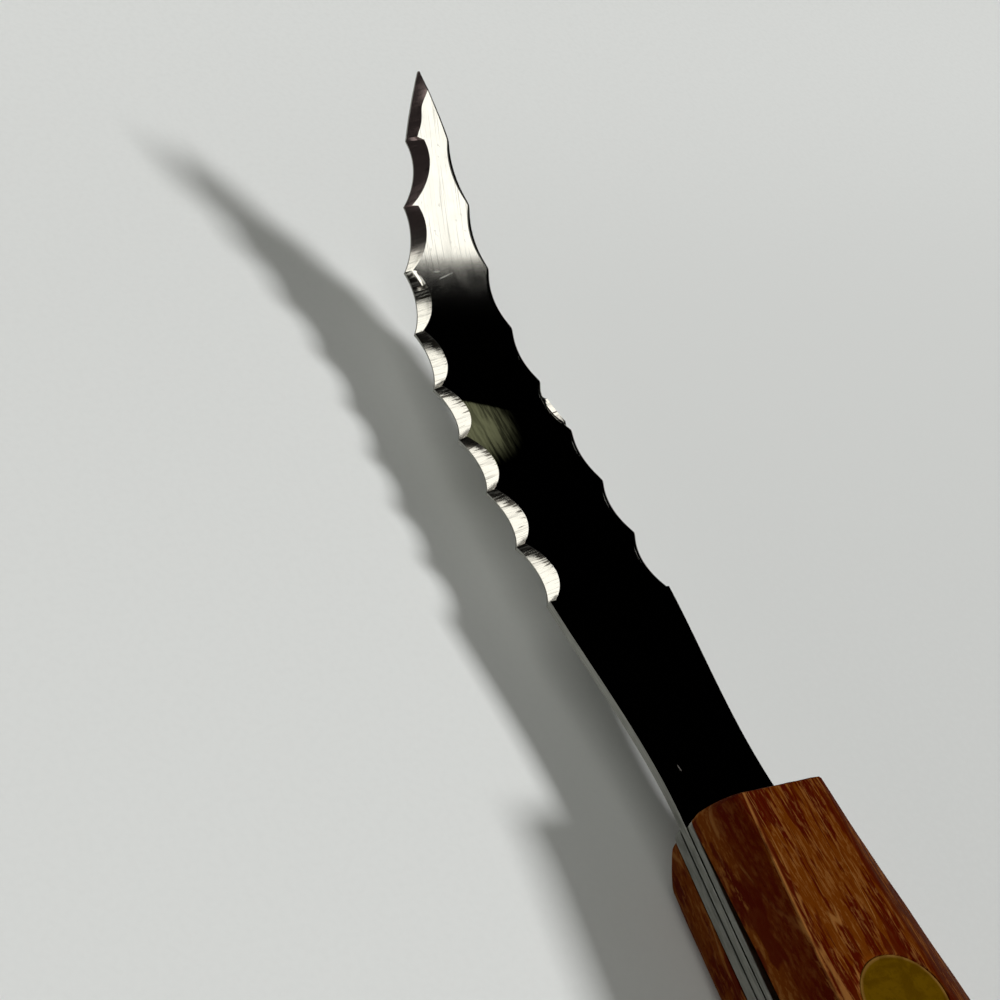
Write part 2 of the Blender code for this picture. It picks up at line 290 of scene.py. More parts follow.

# Scales: widths and strengths of the painted highlight lines along the ridge and round the end, of the paler
# foot, of the painted shade along the right crease, over the right edge and up the left side, and of the
# lower scale's darkening, then of the hand-worn unevenness.
CREST_WIDTH = 0.00016
CREST_HEIGHT = 0.0007
RIDGE_SIDE = 0.00008
END_LINE = 0.00005
END_LINE_WIDTH = 0.00022
END_LINE_STRENGTH = 0.6
FOOT_STRENGTH = 0.08
FOOT_HEIGHT = 0.20
CREASE_OFFSET = 0.0001
CREASE_SHADE_WIDTH = 0.00028
RIGHT_SHADE_FADE = 0.0004
LOWER_DARKENING = -0.35
SIDE_SHADE_LEAST = 0.15
SIDE_SHADE_GROWTH = 0.75
UNWORN_FOOT = 0.0009
UNWORN_FLAT = 0.00002
WEAR_ALONG = 260.0
WEAR_ACROSS = 700.0
WEAR_LEVEL = 0.4


def steps_between(start, end, count):
    return [start + (end - start) * index / count for index in range(count + 1)]


def clamped(share):
    return max(0.0, min(1.0, share))


def eased(share):
    share = clamped(share)
    return share * share * (3.0 - 2.0 * share)


def bell(distance, width):
    """1 at no distance, fading smoothly to both sides."""
    return math.exp(-((distance / width) ** 2))


def knife(group):
    """One group of the knife's settings in the open scene."""
    return getattr(bpy.context.scene, f"knife_{group}")


def plain(column, row):
    return 0


def wrapped_grid(rings, slot_of=plain, start_of=plain):
    """Closed tube: a grid is rolled so that each of its columns becomes one ring, then both ends are filled.

    slot_of gives the material slot for a column and row of the grid, start_of a number kept as an attribute.
    """
    shape = bmesh.new()
    start = shape.verts.layers.float.new("start")
    columns = len(rings) - 1
    rows = len(rings[0])
    bmesh.ops.create_grid(shape, x_segments=columns, y_segments=rows, size=0.5)
    for face in shape.faces:
        middle = face.calc_center_median()
        column = int((middle.x + 0.5) * columns)
        row = int((middle.y + 0.5) * rows)
        face.material_index = slot_of(column, row)
    for vertex in shape.verts:
        column = round((vertex.co.x + 0.5) * columns)
        row = round((vertex.co.y + 0.5) * rows)
        vertex.co = rings[column][row % rows]
        vertex[start] = start_of(column, row % rows)
    bmesh.ops.remove_doubles(shape, verts=shape.verts, dist=MERGE_DISTANCE)
    rims = [edge for edge in shape.edges if edge.is_boundary]
    bmesh.ops.holes_fill(shape, edges=rims, sides=0)
    bmesh.ops.recalc_face_normals(shape, faces=shape.faces)
    return shape


def turned(profile, x, start=0.0):
    """Body of revolution about an upright axis at x; its (radius, height) points start and end there."""
    turns = steps_between(start, start + 2 * math.pi, TURN_STEPS)[:-1]
    rings = []
    for radius, height in profile:
        ring = [(x + radius * math.cos(turn), radius * math.sin(turn), MID_HEIGHT + height) for turn in turns]
        rings.append(ring)
    return wrapped_grid(rings)


def add_object(name, shape, finishes, crease=PLAIN_CREASE):
    """The shape as an object of the scene, smooth but for edges that turn by more than crease degrees."""
    mesh = bpy.data.meshes.new(name)
    shape.to_mesh(mesh)
    shape.free()
    mesh.shade_smooth()
    mesh.set_sharp_from_angle(angle=math.radians(crease))
    piece = bpy.data.objects.new(name, mesh)
    bpy.context.scene.collection.objects.link(piece)
    for finish in finishes:
        mesh.materials.append(finish)
    return piece


def stand_for(piece, node):
    """The piece takes a solid's place and moves with the knife."""
    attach(piece, "root")
    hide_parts(node)


class Nodes:
    """Short way to lay out a node tree on one kind of coordinates: adds nodes and feeds their inputs."""

    def __init__(self, tree, coordinates):
        self.tree = tree
        self.place = self.add("ShaderNodeTexCoord").outputs[coordinates]

    def add(self, kind, **settings):
        node = self.tree.nodes.new(kind)
        for key, value in settings.items():
            setattr(node, key, value)
        return node

    def feed(self, socket, value):
        """Links an output, or sets a plain value."""
        if isinstance(value, bpy.types.NodeSocket):
            self.tree.links.new(value, socket)
        else:
            socket.default_value = value

    def fill(self, node, **values):
        """Feeds a node's inputs by name."""
        for key, value in values.items():
            self.feed(node.inputs[key.replace("_", " ")], value)

    def axis(self, letter):
        node = self.add("ShaderNodeSeparateXYZ")
        self.fill(node, Vector=self.place)
        return node.outputs[letter]

    def spread(self, value, low, high, to_low=0.0, to_high=1.0):
        """Smooth step of a value between two limits."""
        node = self.add("ShaderNodeMapRange", clamp=True, interpolation_type="SMOOTHSTEP")
        self.fill(node, Value=value, From_Min=low, From_Max=high, To_Min=to_low, To_Max=to_high)
        return node.outputs["Result"]

    def outputs(self, kind, operation, values):
        """Outputs of a node that works on its inputs in order."""
        node = self.add(kind, operation=operation)
        for socket, value in zip(node.inputs, values):
            self.feed(socket, value)
        return node.outputs

    def maths(self, operation, *values):
        return self.outputs("ShaderNodeMath", operation, values)["Value"]

    def vectors(self, operation, *values):
        return self.outputs("ShaderNodeVectorMath", operation, values)

    def times(self, first, second):
        return self.maths("MULTIPLY", first, second)

    def plus(self, first, second):
        return self.maths("ADD", first, second)

    def most(self, first, second):
        return self.maths("MAXIMUM", first, second)


class Finish(Nodes):
    """Nodes of one material round its Principled shader, on the piece's own coordinates."""

    def __init__(self, name):
        material = bpy.data.materials.new(name)
        material.use_nodes = True
        super().__init__(material.node_tree, "Object")
        self.shader = self.tree.nodes["Principled BSDF"]

    def set(self, **values):
        self.fill(self.shader, **values)

    def noise(self, scale, detail=4.0, rough=0.5, warp=0.0, turn=0.0, shift=(0.0, 0.0, 0.0)):
        mapped = self.add("ShaderNodeMapping")
        self.fill(mapped, Vector=self.place, Scale=scale, Rotation=(0.0, 0.0, turn), Location=shift)
        node = self.add("ShaderNodeTexNoise")
        self.fill(node, Vector=mapped.outputs["Vector"], Scale=1.0)
        self.fill(node, Detail=detail, Roughness=rough, Distortion=warp)
        return node.outputs["Fac"]

    def spot(self, centre, turn, half_length, half_width, core=0.4):
        """1 in the core of a small ellipse on the blade's face, fading to 0 at its rim."""
        node = self.add("ShaderNodeMapping", vector_type="TEXTURE")
        self.fill(node, Vector=self.place, Location=(*centre, 0.0), Rotation=(0.0, 0.0, turn))
        self.fill(node, Scale=(half_length, half_width, 1.0))
        reach = self.vectors("LENGTH", node.outputs["Vector"])["Value"]
        return self.spread(reach, 1.0, core)

    def attribute(self, name):
        return self.add("ShaderNodeAttribute", attribute_name=name).outputs["Fac"]

    def mix(self, share, first, second):
        node = self.add("ShaderNodeMix", data_type="RGBA")
        self.fill(node, Factor=share)
        for socket, value in ((node.inputs[6], first), (node.inputs[7], second)):
            self.feed(socket, value if isinstance(value, bpy.types.NodeSocket) else (*value, 1.0))
        return node.outputs[2]

    def bump(self, height, strength, distance):
        """Adds to the bumps that are there."""
        node = self.add("ShaderNodeBump")
        self.fill(node, Height=height, Strength=strength, Distance=distance)
        earlier = self.shader.inputs["Normal"]
        if earlier.is_linked:
            self.fill(node, Normal=earlier.links[0].from_socket)
        self.set(Normal=node.outputs["Normal"])


def shaded(colour, share):
    return tuple(share * part for part in colour)


def polished_steel(n, colours):
    """Mirror-polished sheet: fine scratches along it, a scuffed tip, dried film and a few short marks."""
    scuffed = n.spread(n.axis("X"), *SCUFFED)
    hairlines = n.noise((60, 9000, 60), detail=2, rough=0.6)
    strays = n.noise((900, 7000, 7000), detail=1, turn=0.6)
    smears = n.noise((260, 420, 420), detail=4, rough=0.6, warp=0.6)
    specks = n.noise((900, 1700, 1700), detail=3, rough=0.6)
    scratched = n.most(n.spread(hairlines, 0.60, 0.78), n.spread(strays, 0.72, 0.84))
    worn_tip = n.times(scuffed, n.spread(smears, 0.36, 0.64, 0.07, 0.11))
    slanted = n.maths("SUBTRACT", n.axis("X"), n.times(n.axis("Y"), FILM_SLANT))
    wiped = n.spread(slanted, FILM_END + FILM_FADE, FILM_END - FILM_FADE)
    streaks = n.noise((240, 2400, 2400), detail=3, rough=0.6, turn=-0.12)
    film = n.times(n.spot(*FILM_PATCH), n.spread(streaks, 0.36, 0.62, 0.55, 1.0))
    film = n.times(film, wiped)
    n.set(Metallic=n.spread(film, 0.10, 0.90, 1.0, 0.0), Specular_IOR_Level=0.05)
    marks = n.spot(*SCRATCHES[0])
    for scratch in SCRATCHES[1:]:
        marks = n.most(marks, n.spot(*scratch))
    rough = n.plus(n.times(scratched, 0.04), 0.08)
    rough = n.plus(rough, worn_tip)
    rough = n.most(rough, n.times(film, 0.60))
    n.set(Roughness=n.most(rough, n.times(marks, 0.55)))
    tone = n.mix(n.spread(smears, 0.35, 0.75), colours.steel, shaded(colours.steel, 0.95))
    strokes = n.noise((170, 5600, 170), detail=1, shift=(5, 1, 2))
    stroked = n.times(scuffed, n.spread(strokes, 0.56, 0.70, 0.0, 0.6))
    scratched = n.most(n.times(scratched, 0.5), stroked)
    tone = n.mix(scratched, tone, shaded(colours.steel, 0.55))
    spotted = n.times(scuffed, n.spread(specks, 0.63, 0.72, 0.0, 0.45))
    tone = n.mix(spotted, tone, shaded(colours.steel, 0.45))
    tone = n.mix(n.spread(film, 0.0, 0.10), tone, colours.film)
    n.set(Base_Color=n.mix(marks, tone, colours.mark))
    n.bump(hairlines, 0.04, 0.00002)


def ground_steel(n, colours):
    """Facets straight off the wheel: grind lines across the edge, and a painted dark reflection along the
    crest and at each scallop's tip end, its edge ragged with grind marks.
    """
    n.set(Metallic=1.0)
    lines = n.noise((3600, 260, 260), detail=3, rough=0.65)
    deep = n.noise((4600, 420, 420), detail=2, warp=0.3, shift=(0, 3, 1))
    burr = n.noise((600, 600, 600), detail=4)
    # Painted dark reflection: its share along the crest and at the tip end of each scallop.
    dark_reflection_share = n.spread(n.attribute("start"), 0.25, 0.95, 0.0, 0.24)
    n.set(Roughness=n.spread(lines, 0.3, 0.7, 0.15, 0.24))
    tone = n.mix(n.spread(lines, 0.30, 0.55), shaded(colours.ground, 0.64), colours.ground)
    tone = n.mix(n.spread(n.axis("X"), *SMOKED), tone, colours.smoked)
    # Painted dark reflection, its edge made ragged by noise.
    scored = n.spread(n.plus(deep, dark_reflection_share), 0.64, 0.74, 0.0, 0.9)
    n.set(Base_Color=n.mix(scored, tone, colours.scored))
    n.bump(lines, 0.10, 0.00004)
    n.bump(burr, 0.06, 0.00005)


def whetted_steel(n, colours):
    """Finer facets of the right edge, close to a polish, with a near-black colour that paints in a dark
    reflection.
    """
    n.set(Metallic=1.0)
    lines = n.noise((4200, 300, 300), detail=3, rough=0.6)
    n.set(Roughness=n.spread(lines, 0.3, 0.7, 0.07, 0.12))
    # Painted dark reflection: the right facets' colour is a tenth to a sixth of the steel's.
    dark = shaded(colours.steel, 0.10)
    n.set(Base_Color=n.mix(n.spread(lines, 0.3, 0.6), dark, shaded(colours.steel, 0.16)))
    n.bump(lines, 0.05, 0.00002)


def satin_steel(n, colours):
    """Sheared edges and section blades: dull, drawn lines, small stains."""
    n.set(Metallic=1.0)
    drawn = n.noise((45, 5200, 5200), detail=3, rough=0.6)
    stains = n.noise((420, 700, 700), detail=5, rough=0.6)
    n.set(Roughness=n.spread(drawn, 0.3, 0.7, 0.30, 0.46))
    dark = shaded(colours.satin, 0.70)
    tone = n.mix(n.spread(drawn, 0.30, 0.66), dark, colours.satin)
    n.set(Base_Color=n.mix(n.spread(stains, 0.60, 0.76, 0.0, 0.45), tone, colours.stain))
    n.bump(drawn, 0.12, 0.00003)
    n.bump(stains, 0.10, 0.00004)


def oiled_wood(n, colours):
    """Red-brown hardwood, its layers upright: fine lines on the flats, broad figure on the sides, painted
    highlights along the ridge and end, a paler foot, painted shade on the left side, along the right crease
    and over the right edge with a painted grazing reflection there, and a lower scale a little dark all over.
    """
    layers = n.noise((95, 640, 240), detail=3, rough=0.6, warp=0.35)
    fibres = n.noise((420, 4000, 2100), detail=4, rough=0.65, warp=0.15)
    pores = n.noise((170, 1250, 460), detail=2, rough=0.55, warp=0.3, shift=(1.3, 4.2, 2.7))
    figure = n.noise((40, 430, 150), detail=1, rough=0.4, warp=0.2, shift=(3.1, 1.7, 0.4))
    mottle = n.noise((1000, 2800, 2800), detail=3, rough=0.6, shift=(7, 2, 5))
    breaks = n.noise((330, 900, 900), detail=2, shift=(2, 8, 3))
    worn = n.attribute("worn")
    ragged = n.plus(layers, n.times(fibres, 0.35))
    # Where painted shade and the lower scale's darkening lie, fewer dark layers show.
    ragged = n.plus(ragged, n.spread(worn, 0.0, -0.1, 0.0, 0.06))
    tone = n.mix(n.spread(ragged, 0.63, 0.715), colours.wood_dark, colours.wood_mid)
    tone = n.mix(n.spread(fibres, 0.50, 0.64, 0.0, 0.55), tone, colours.wood_light)
    tone = n.mix(n.spread(mottle, 0.54, 0.68, 0.0, 0.4), tone, colours.wood_light)
    open_pores = n.spread(pores, 0.56, 0.62)
    tone = n.mix(n.times(open_pores, 0.85), tone, colours.wood_dark)
    from_line = n.maths("ABSOLUTE", n.maths("SUBTRACT", figure, 0.5))
    golden = n.times(n.spread(from_line, 0.004, 0.018, 1.0, 0.0), n.spread(breaks, 0.38, 0.52))
    tone = n.mix(n.times(golden, 0.9), tone, colours.wood_light)
    # Painted highlights along the ridge and round the end, and the paler foot.
    rubbed = n.times(n.spread(worn, 0.0, 1.0), n.spread(breaks, 0.36, 0.54, 0.3, 1.0))
    tone = n.mix(rubbed, tone, shaded(colours.wood_light, 1.15))
    # Painted shade on the left side and along the right crease, and the lower scale's darkening.
    darkening = n.times(n.spread(worn, 0.0, -1.0), n.spread(mottle, 0.34, 0.56, 1.0, 0.7))
    tone = n.mix(darkening, tone, colours.wood_dark)
    # Painted shade and a painted grazing reflection over the right edge.
    right_edge_shade = n.times(n.attribute("dull"), n.spread(fibres, 0.42, 0.60, 1.0, 0.25))
    tone = n.mix(right_edge_shade, tone, colours.wood_dull)
    n.set(Base_Color=tone, Roughness=n.spread(fibres, 0.3, 0.7, 0.52, 0.68), Specular_IOR_Level=0.015)
    n.bump(fibres, 0.60, 0.00010)
    n.bump(n.maths("SUBTRACT", golden, open_pores), 0.50, 0.00010)


def aged_brass(n, colours):
    """Olive patina, finely speckled, with a thin painted highlight line round the rim."""
    film = n.noise((420, 420, 420), detail=6, rough=0.62, warp=0.7)
    specks = n.noise((3200, 3200, 3200), detail=3)
    wiped = n.noise((300, 2600, 2600), detail=3, turn=0.9)
    tone = n.mix(n.spread(film, 0.42, 0.60), colours.patina, colours.brass)
    tone = n.mix(n.spread(specks, 0.52, 0.70, 0.0, 0.4), tone, colours.tarnish)
    # Painted highlight round the rim.
    rubbed = n.times(n.attribute("worn"), n.spread(film, 0.35, 0.60, 0.3, 0.9))
    n.set(Base_Color=n.mix(rubbed, tone, colours.rubbed))
    n.set(Metallic=n.spread(film, 0.3, 0.7, 0.03, 0.12), Specular_IOR_Level=0.01)
    n.set(Roughness=n.spread(wiped, 0.3, 0.7, 0.45, 0.60))
    n.bump(wiped, 0.12, 0.00003)
    n.bump(specks, 0.15, 0.00003)


def pale_floor(n, colours):
    """Matt floor with painted shade to the right of the handle and painted light beyond the tip."""
    grain = n.noise((1500, 1500, 1500), detail=2)
    floor_shade = n.times(n.spread(n.axis("Y"), *FLOOR_SHADE_RIGHT), n.spread(n.axis("X"), *FLOOR_SHADE_REAR))
    # Painted shade to the right and rear, painted light beyond the tip.
    tone = n.mix(floor_shade, colours.floor, shaded(colours.floor, 0.87))
    tone = n.mix(n.spread(n.axis("X"), *FLOOR_LIGHT_BEYOND), tone, shaded(colours.floor, 1.055))
    n.set(Base_Color=n.mix(n.spread(grain, 0.35, 0.75, 0.0, 0.25), tone, shaded(colours.floor, 0.94)))
    n.set(Roughness=0.62)
    n.bump(grain, 0.06, 0.00005)


def finish(make):
    """The material that a function lays out, made once."""
    name = f"knife_{make.__name__}"
    if name not in bpy.data.materials:
        make(Finish(name), knife("colours"))
    return bpy.data.materials[name]


def sine_swell(x):
    """0 at the handle's two ends, 1 at mid length."""
    return math.sin(math.pi * (x - REAR) / (FRONT - REAR))


def handle_half_width(x):
    sizes = knife("handle")
    return sizes.end_half_width + (sizes.mid_half_width - sizes.end_half_width) * sine_swell(x)


def blade_centre_line(distance):
    """Place and slope of the bent blade's mid plane at a distance from the front of the handle."""
    sizes = knife("blade")
    along = distance - sizes.neck_length - sizes.bend_start
    turn = min(max(along / sizes.bend_radius, 0.0), sizes.bend_angle)
    past = max(along - sizes.bend_angle * sizes.bend_radius, 0.0)
    straight = min(distance, sizes.neck_length + sizes.bend_start)
    x = FRONT + straight + sizes.bend_radius * math.sin(turn) + past * math.cos(turn)
    z = MID_HEIGHT + sizes.bend_radius * (1.0 - math.cos(turn)) + past * math.sin(turn)
    return x, z, turn


def ground_side(edge, facet, top, fall, even, power, burr, leaf=NO_LEAF):
    """One side as (across, height): a softened crest, then the facet out to the lip of the cutting edge.

    The share even of the fall is a plain slope and the rest bends over. A lip as wide as burr is bent up.
    leaf is how plainly a hollow beside the crest shows, its reach across the facet and its depth.
    """
    shown, reach, sunk = leaf
    crest = edge - facet
    side = [(crest - EDGE_BREAK, top), (crest, top - EDGE_BREAK / 2)]
    half = FACET_STEPS // 2
    for step in range(1, FACET_STEPS + 1):
        share = reach * step / half if step <= half else reach + (1.0 - reach) * (step - half) / half
        drop = fall * (even * share + (1.0 - even) * share**power)
        drop += shown * (sunk + (fall - sunk) * max(0.0, share - reach) / (1.0 - reach) - drop)
        rise = BURR_SLOPE * max(0.0, facet * share - facet + burr)
        side.append((crest + facet * share, top - drop + rise))
    return side


def blade_ring(distance, left, right, lag=1.0, left_fall=1.0, burr=0.0, leaf=NO_LEAF):
    """Points round the sheet from the left crest of the upper face, down, under and back over the top.

    left and right are (half width at the cutting edge, facet width). Where the facets meet they form a ridge.
    The left facet is hollow and falls by left_fall of its height, the right one rolls over or ends in a burr.
    """
    sizes = knife("blade")
    under = -sizes.thickness / 2
    full = sizes.thickness - sizes.land
    meet = min(1.0, (left[0] + right[0]) / max(1e-9, left[1] + right[1] + 2 * EDGE_BREAK))
    top = under + sizes.land + full * meet
    right_fall = full * meet * max(0.0, 1.0 - 3.0 * burr / sizes.burr)
    fall = full * meet * left_fall
    outline = ground_side(left[0], left[1] * meet, top, fall, 0.0, HOLLOW_POWER, 0.0, leaf)
    other = ground_side(right[0], right[1] * meet, top, right_fall, ROLL_START, ROLL_POWER, burr)
    crests = (outline[0][0], other[0][0])
    for edge, side in ((left[0], outline), (right[0], other)):
        side += [(edge, under + EDGE_BREAK), (edge - min(EDGE_BREAK, edge / 2), under)]
    outline += [(left[0] * 0.5, under), (0.0, under), (-right[0] * 0.5, under)]
    outline += [(-y, height) for y, height in reversed(other)]
    for share in (0.25, 0.5, 0.75):
        outline.append((-crests[1] + (crests[0] + crests[1]) * share, top))
    ring = []
    for y, height in outline:
        across = y / (left[0] if y > 0 else right[0])
        x, z, turn = blade_centre_line(distance - lag * sizes.grind_lag * (1.0 + across) / 2)
        ring.append((x - math.sin(turn) * height, y, z + math.cos(turn) * height))
    return ring


def neck_half_width(distance):
    """Smooth waist from the handle's outline to the first scallop."""
    sizes = knife("blade")
    handle = knife("handle")
    share = distance / sizes.neck_length
    swell = handle.mid_half_width - handle.end_half_width
    start_slope = -swell * math.pi / (FRONT - REAR) * sizes.neck_length
    end_slope = NECK_END_SLOPE * sizes.neck_length
    start = (2 * share**3 - 3 * share**2 + 1) * handle.end_half_width
    end = (3 * share**2 - 2 * share**3) * sizes.half_width
    return start + end + (share**3 - 2 * share**2 + share) * start_slope + (share**3 - share**2) * end_slope


def tooth_half_width(distance):
    """Line through the tooth points, from the first scallop to the tip."""
    sizes = knife("blade")
    share = min(1.0, distance / (SCALLOPS * sizes.pitch + sizes.tip_length))
    return POINT_HALF_WIDTH + (sizes.half_width - POINT_HALF_WIDTH) * (1.0 - share**TAPER_POWER)


def arc_depth(share, chord, depth):
    """Depth of a circular scallop at a share of its chord."""
    radius = ((chord / 2) ** 2 + depth**2) / (2 * depth)
    across = (share - 0.5) * chord
    return math.sqrt(radius**2 - across**2) - (radius - depth)


def right_extra(share):
    """The right edge stands out from the neck on and falls back at the point."""
    return (knife("blade").right_extra - BLUNT) * eased(share)


def left_facet(number, share):
    """Facet along one scallop: narrow at its handle end, wide at its tip end, most on the last scallops."""
    sizes = knife("blade")
    near = sizes.near_facet
    far = sizes.far_facet + sizes.far_growth * (number / (SCALLOPS - 1)) ** 4
    bulge = max(LEAST_BULGE, sizes.facet_width - (near + far) / 2)
    return near + (far - near) * share + arc_depth(share, sizes.pitch, bulge)


def burr_width(number, share):
    """The right lip is bent up along part of one scallop."""
    if number != BURR_SCALLOP:
        return 0.0
    along = clamped((share - BURR_START) / BURR_SPAN)
    return knife("blade").burr * math.sin(math.pi * along)


def leaf_hollow(number, share):
    """Where the wheel first touched one left scallop it left a small hollow, narrowing towards the handle."""
    if number != LEAF_SCALLOP:
        return NO_LEAF
    along = max(0.0, (share - LEAF_START) / (1.0 - LEAF_START))
    shown = eased(along / LEAF_FADE)
    sunk = LEAF_SLOPE * (1.0 - share) * knife("blade").pitch
    return (shown, 0.5 - LEAF_TAPER * shown * (1.0 - along), sunk)


def scallop_ring(number, share):
    """The last left scallop runs out into the swell of the point and is ground steeper."""
    sizes = knife("blade")
    last = number == SCALLOPS - 1
    distance = (number + share) * sizes.pitch
    tooth = tooth_half_width(distance)
    left = tooth - arc_depth(share, sizes.pitch, sizes.scallop_depth)
    left += sizes.tip_swell * share**3 if last else 0.0
    depth = arc_depth(share, sizes.pitch, sizes.right_depth * RIGHT_DEPTH_SHARES[number])
    right = tooth + sizes.right_extra - math.hypot(depth, BLUNT)
    facet = left_facet(number, share)
    fall = 1.0 if last else min(1.0, facet / sizes.facet_width) ** FALL_POWER
    bulge = arc_depth(share, 1.0, RIGHT_ARC) / RIGHT_ARC
    right_facet = sizes.right_facet * (RIGHT_END_SHARE + (1.0 - RIGHT_END_SHARE) * bulge)
    sides = ((left, facet), (right, right_facet))
    extra = {"left_fall": fall, "burr": burr_width(number, share), "leaf": leaf_hollow(number, share)}
    return blade_ring(sizes.neck_length + distance, *sides, **extra)


def tip_ring(share):
    sizes = knife("blade")
    distance = SCALLOPS * sizes.pitch + share * sizes.tip_length
    half = tooth_half_width(distance)
    waist = 1.0 - TIP_WAIST * math.cos(4.0 * math.pi * min(0.5, share))
    waist += TIP_FLARE * eased((share - TIP_FLARE_START) / TIP_FLARE_START)
    left = (half + sizes.tip_swell * (1.0 - share**TIP_SWELL_POWER), sizes.tip_left_facet * waist)
    right = (half + right_extra(1.0 - share), sizes.right_facet * (RIGHT_END_SHARE - 0.2 * share))
    return blade_ring(sizes.neck_length + distance, left, right, 1.0 - share, TIP_FALL)


class KnifeBentBlade(bpy.types.Operator):
    """Bent blade with its tang, scallops ground along both edges and a plain point"""

    bl_idname = "knife.bent_blade"
    bl_label = "Bent blade"

    def execute(self, context):
        sizes = context.scene.knife_blade
        rings = []
        for x in steps_between(REAR + sizes.tang_setback, FRONT, TANG_STEPS):
            side = (handle_half_width(x), 0.0)
            rings.append(blade_ring(x - FRONT, side, side, 0.0))
        for distance in steps_between(0.0, sizes.neck_length, 30)[1:]:
            half = neck_half_width(distance)
            share = distance / sizes.neck_length
            rings.append(blade_ring(distance, (half, 0.0), (half + right_extra(share), 0.0), share))
        shares = [0.0] * len(rings)
        first_scallop = len(rings) - 1
        for number in range(SCALLOPS):
            for angle in steps_between(0.0, math.pi, SCALLOP_STEPS)[1:]:
                share = (1.0 - math.cos(angle)) / 2
                rings.append(scallop_ring(number, share))
                shares.append(share if number < DARK_REFLECTION_SCALLOPS else 0.0)
        for share in steps_between(0.0, 1.0, 24)[1:]:
            rings.append(tip_ring(share))
            shares.append(0.0)
        left_facet_rows = range(1, FACET_STEPS + 1)
        right_facet_rows = range(FACET_STEPS + 9, 2 * FACET_STEPS + 9)
        dull_rows = {0, *range(FACET_STEPS + 3, FACET_STEPS + 7), 2 * FACET_STEPS + 9}
        edge_rows = {FACET_STEPS + 1, FACET_STEPS + 2, FACET_STEPS + 7, FACET_STEPS + 8}
        burr_start = first_scallop + SCALLOP_STEPS * BURR_SCALLOP
        burr_columns = range(burr_start, burr_start + SCALLOP_STEPS)
        leaf_end = first_scallop + SCALLOP_STEPS * (LEAF_SCALLOP + 1)
        leaf_columns = range(leaf_end - SCALLOP_STEPS * 2 // 7, leaf_end)
        leaf_foot = range(leaf_columns.start - SCALLOP_STEPS // 7, leaf_columns.start)

        def slot_of(column, row):
            ground = column >= first_scallop
            if row in left_facet_rows:
                return 1 if ground else 2
            if row in right_facet_rows and column in burr_columns:
                return 1
            if row in right_facet_rows:
                return 3 if ground else 2
            if row in edge_rows or row in dull_rows and not ground:
                return 2
            return 0

        def start_of(column, row):
            """Painted dark reflection on a scallop's facet: most at its tip end, along the crest and below
            the bright hollow.
            """
            if column in leaf_columns and row <= FACET_STEPS // 2 + 1:
                return 0.0
            if column in leaf_foot:
                return 1.0
            along_crest = shares[column] * max(0.0, CREST_DARK_REFLECTION - (row - 1) / FACET_STEPS)
            return max(along_crest, eased((shares[column] - DARK_REFLECTION_START) / DARK_REFLECTION_FADE))

        finishes = [finish(make) for make in (polished_steel, ground_steel, satin_steel, whetted_steel)]
        blade = add_object("bent_blade", wrapped_grid(rings, slot_of, start_of), finishes, BLADE_CREASE)
        stand_for(blade, "curved_blade")
        return {"FINISHED"}


def section_half_width(distance):
    """Half width of a section blade from the handle's rear to its round tip."""
    sizes = knife("section")
    wide = knife("handle").end_half_width
    if distance < sizes.neck:
        ease = (1.0 - math.cos(math.pi * distance / sizes.neck)) / 2
        return wide + (sizes.half_width - wide) * ease
    share = max(0.0, distance - (sizes.reach - sizes.tip)) / sizes.tip
    return max(POINT_HALF_WIDTH, sizes.half_width * math.sqrt(max(0.0, 1.0 - share**2)))


def section_ring(x, half, bevel, side, thinned):
    """Points round a section blade: outer face, bevel, edge, inner face."""
    inner = SECTION_INNER - STACK_CLOSING
    outer = SECTION_OUTER - thinned
    land = inner + knife("blade").land
    crest = max(POINT_HALF_WIDTH / 2, half - bevel)
    soft = min(EDGE_BREAK, crest / 4)
    edge = [(0.0, outer), (crest - soft, outer), (crest, outer - soft), (half, land)]
    edge += [(half, inner + soft), (half - soft, inner), (0.0, inner)]
    outline = edge + [(-y, z) for y, z in reversed(edge[1:-1])]
    return [(x, y, MID_HEIGHT + side * z) for y, z in outline]


def rounded_corner(x):
    """How far the tang draws in at its front corners."""
    inside = clamped((FRONT - x) / CORNER_RADIUS)
    return CORNER_RADIUS * (1.0 - math.sqrt(1.0 - (1.0 - inside) ** 2))


class KnifeSectionBlades(bpy.types.Operator):
    """Pair of straight blades at the rear, their tangs outside the bent blade's tang"""

    bl_idname = "knife.section_blades"
    bl_label = "Section blades"

    def execute(self, context):
        sizes = context.scene.knife_section
        shoulder = sizes.reach - sizes.tip
        places = steps_between(0.0, sizes.neck, 24)[1:]
        places += steps_between(sizes.neck, shoulder, 24)[1:]
        angles = steps_between(0.0, math.pi / 2, 28)[1:]
        places += [shoulder + sizes.tip * math.sin(angle) for angle in angles]
        for name, side in SIDES:
            rings = []
            turns = steps_between(0.0, math.pi / 2, 10)
            corner = [FRONT - CORNER_RADIUS * (1.0 - math.cos(turn)) for turn in turns]
            thinned = TANG_THINNED[name]
            for x in corner + steps_between(corner[-1], REAR, TANG_STEPS)[1:]:
                rings.append(section_ring(x, handle_half_width(x) - rounded_corner(x), 0.0, side, thinned))
            for distance in places:
                bevel = sizes.bevel * min(1.0, distance / sizes.neck)
                half = section_half_width(distance)
                rings.append(section_ring(REAR - distance, half, bevel, side, thinned))
            shape = wrapped_grid(rings)
            wear_back(shape, TANG_STANDS_OUT[name])
            blade = add_object(f"{name}_section", shape, [finish(satin_steel)], BLADE_CREASE)
            stand_for(blade, f"{name}_section_blade")
        return {"FINISHED"}


def from_end(x):
    """Distance to the nearer end of the handle."""
    return min(FRONT - x, x - REAR)


